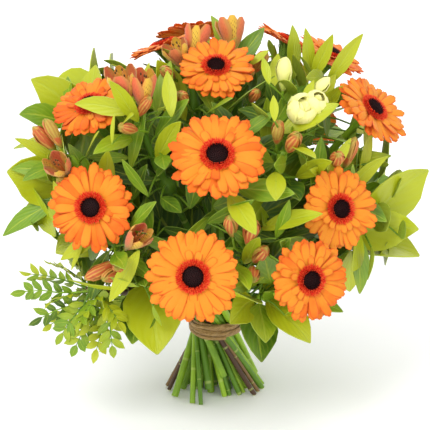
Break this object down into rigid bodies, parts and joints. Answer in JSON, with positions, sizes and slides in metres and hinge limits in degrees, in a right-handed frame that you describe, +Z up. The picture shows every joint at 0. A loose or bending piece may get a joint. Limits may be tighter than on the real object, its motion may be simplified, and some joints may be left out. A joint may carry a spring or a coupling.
{
  "type": "hand-tied gerbera bouquet",
  "caption": "Round hand-tied spiral bouquet of orange gerberas with alstroemeria, cream buds and mixed leaves, tied with twine and standing on its level-cut stems.",
  "frame": {"origin": "centre of the middle stem's level-cut end, on the plane that the bunch stands on", "axes": "+Z up along the bunch from the cut stem ends to the flower heads; -Y is the fullest side, where most heads face; +X is to the right when seen from there"},
  "size_m": [0.377, 0.3507, 0.3571],
  "materials": {
    "gerbera_petals": "satin petals, orange, deeper towards the centre",
    "gerbera_eye": "matt, near-black maroon with a red edge",
    "gerbera_stem": "satin green, finely haired",
    "alstroemeria": "satin green, with orange, red and yellow buds",
    "cream_flower": "satin, cream-yellow buds on green",
    "salal_leaf": "semi-gloss green leaves",
    "pistacia_leaf": "satin green leaflets on brown twigs",
    "ruscus_leaf": "semi-gloss bright green leaves",
    "twine": "matt, coarse natural fibre"
  },
  "bodies": {
    "root": {"gerbera_01_bloom": "gerbera_petals", "gerbera_01_eye": "gerbera_eye", "gerbera_01_stem": "gerbera_stem", "gerbera_02_bloom": "gerbera_petals", "gerbera_02_eye": "gerbera_eye", "gerbera_02_stem": "gerbera_stem", "gerbera_03_bloom": "gerbera_petals", "gerbera_03_eye": "gerbera_eye", "gerbera_03_stem": "gerbera_stem", "gerbera_04_bloom": "gerbera_petals", "gerbera_04_eye": "gerbera_eye", "gerbera_04_stem": "gerbera_stem", "gerbera_05_bloom": "gerbera_petals", "gerbera_05_eye": "gerbera_eye", "gerbera_05_stem": "gerbera_stem", "gerbera_06_bloom": "gerbera_petals", "gerbera_06_eye": "gerbera_eye", "gerbera_06_stem": "gerbera_stem", "gerbera_07_bloom": "gerbera_petals", "gerbera_07_eye": "gerbera_eye", "gerbera_07_stem": "gerbera_stem", "gerbera_08_bloom": "gerbera_petals", "gerbera_08_eye": "gerbera_eye", "gerbera_08_stem": "gerbera_stem", "gerbera_09_bloom": "gerbera_petals", "gerbera_09_eye": "gerbera_eye", "gerbera_09_stem": "gerbera_stem", "gerbera_10_bloom": "gerbera_petals", "gerbera_10_eye": "gerbera_eye", "gerbera_10_stem": "gerbera_stem", "gerbera_11_bloom": "gerbera_petals", "gerbera_11_eye": "gerbera_eye", "gerbera_11_stem": "gerbera_stem", "gerbera_12_bloom": "gerbera_petals", "gerbera_12_eye": "gerbera_eye", "gerbera_12_stem": "gerbera_stem", "gerbera_13_bloom": "gerbera_petals", "gerbera_13_eye": "gerbera_eye", "gerbera_13_stem": "gerbera_stem", "gerbera_14_bloom": "gerbera_petals", "gerbera_14_eye": "gerbera_eye", "gerbera_14_stem": "gerbera_stem", "alstroemeria_01": "alstroemeria", "alstroemeria_02": "alstroemeria", "alstroemeria_03": "alstroemeria", "alstroemeria_04": "alstroemeria", "alstroemeria_05": "alstroemeria", "alstroemeria_06": "alstroemeria", "alstroemeria_07": "alstroemeria", "alstroemeria_08": "alstroemeria", "cream_01": "cream_flower", "salal_01": "salal_leaf", "salal_02": "salal_leaf", "salal_03": "salal_leaf", "salal_04": "salal_leaf", "salal_05": "salal_leaf", "pistacia_01": "pistacia_leaf", "pistacia_02": "pistacia_leaf", "ruscus_01": "ruscus_leaf", "twine": "twine"}
  },
  "joints": []
}
